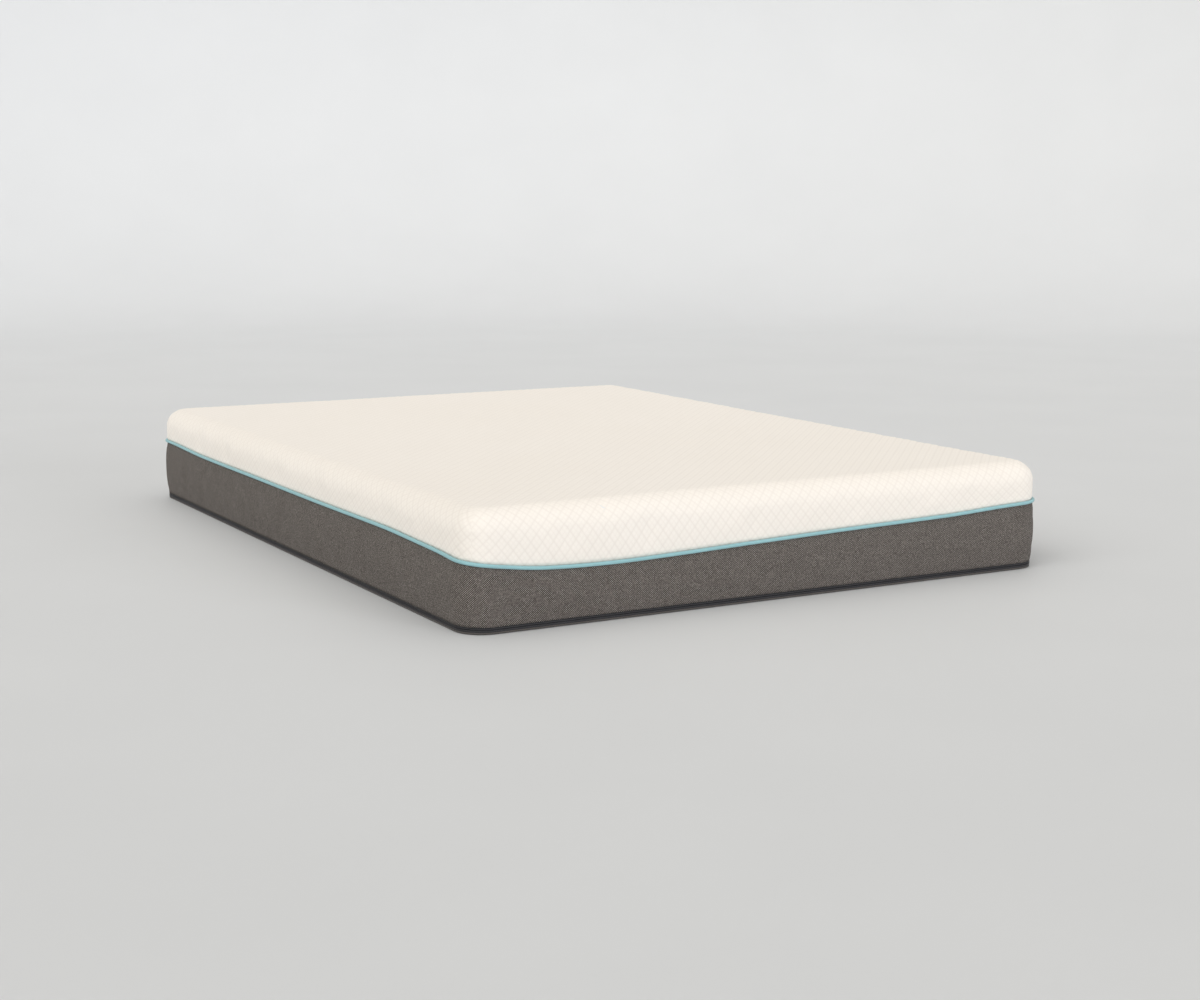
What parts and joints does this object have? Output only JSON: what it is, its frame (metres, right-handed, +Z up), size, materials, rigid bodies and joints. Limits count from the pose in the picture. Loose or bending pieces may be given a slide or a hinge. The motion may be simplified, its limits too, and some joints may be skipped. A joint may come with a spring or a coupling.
{
  "type": "memory foam mattress",
  "caption": "Low rectangular mattress: layered foam core in a fire sock, under a zip-off cover with a rolled knit cap, contrast piping and a dark mesh border.",
  "frame": {"origin": "bottom centre of the mattress, on the face that rests on the bed base", "axes": "+X to the right seen from the foot end, +Y along the length towards the head end, +Z up to the sleeping surface"},
  "size_m": [1.524, 2.032, 0.254],
  "materials": {
    "base_foam": "firm open-cell polyurethane foam, cream",
    "transition_foam": "soft open-cell foam, pale blue",
    "memory_foam": "dense slow-recovery foam, pale aqua",
    "sock_knit": "thin stretch jersey, off-white",
    "non_slip_cloth": "dark cloth with small grip dots",
    "cap_knit": "stretch double knit with a fine diamond relief, warm white",
    "fibre_fill": "loose white polyester fibre",
    "piping_cloth": "smooth woven strip, pale teal",
    "piping_cord": "twisted cotton cord, natural",
    "border_mesh": "padded spacer mesh, warm dark grey",
    "zip_tape": "woven polyester tape, charcoal",
    "zip_coil": "nylon coil, charcoal",
    "zip_metal": "lacquered zinc, satin grey",
    "label_cloth": "plain satin label, white, blank"
  },
  "bodies": {
    "core": {"support_foam_base": "base_foam", "transition_foam_layer": "transition_foam", "memory_foam_layer": "memory_foam", "fire_sock": "sock_knit", "bottom_panel": "non_slip_cloth", "zipper_tape_lower": "zip_tape", "zipper_coil_lower": "zip_coil"},
    "cover": {"knit_cap": "cap_knit", "cap_fibre_fill": "fibre_fill", "piping_cover": "piping_cloth", "piping_cord": "piping_cord", "border_mesh": "border_mesh", "border_padding": "fibre_fill", "zipper_tape_upper": "zip_tape", "zipper_coil_upper": "zip_coil", "zipper_stop": "zip_metal", "zipper_end_tab": "non_slip_cloth", "law_label": "label_cloth", "care_label": "label_cloth"},
    "zip_slider": {"slider_body": "zip_metal"},
    "zip_pull": {"pull_tab": "zip_metal"}
  },
  "joints": [
    {"name": "cover_lift", "type": "slide", "parent": "core", "child": "cover", "axis": [0, 0, 1], "range_m": [0, 0.3]},
    {"name": "zip_run", "type": "slide", "parent": "cover", "child": "zip_slider", "axis": [-1, 0, 0], "range_m": [0, 0.15]},
    {"name": "pull_swing", "type": "hinge", "parent": "zip_slider", "child": "zip_pull", "pos_m": [0.42, 1.0125, 0.01], "axis": [0, 0, 1], "range_deg": [0, 170]}
  ]
}
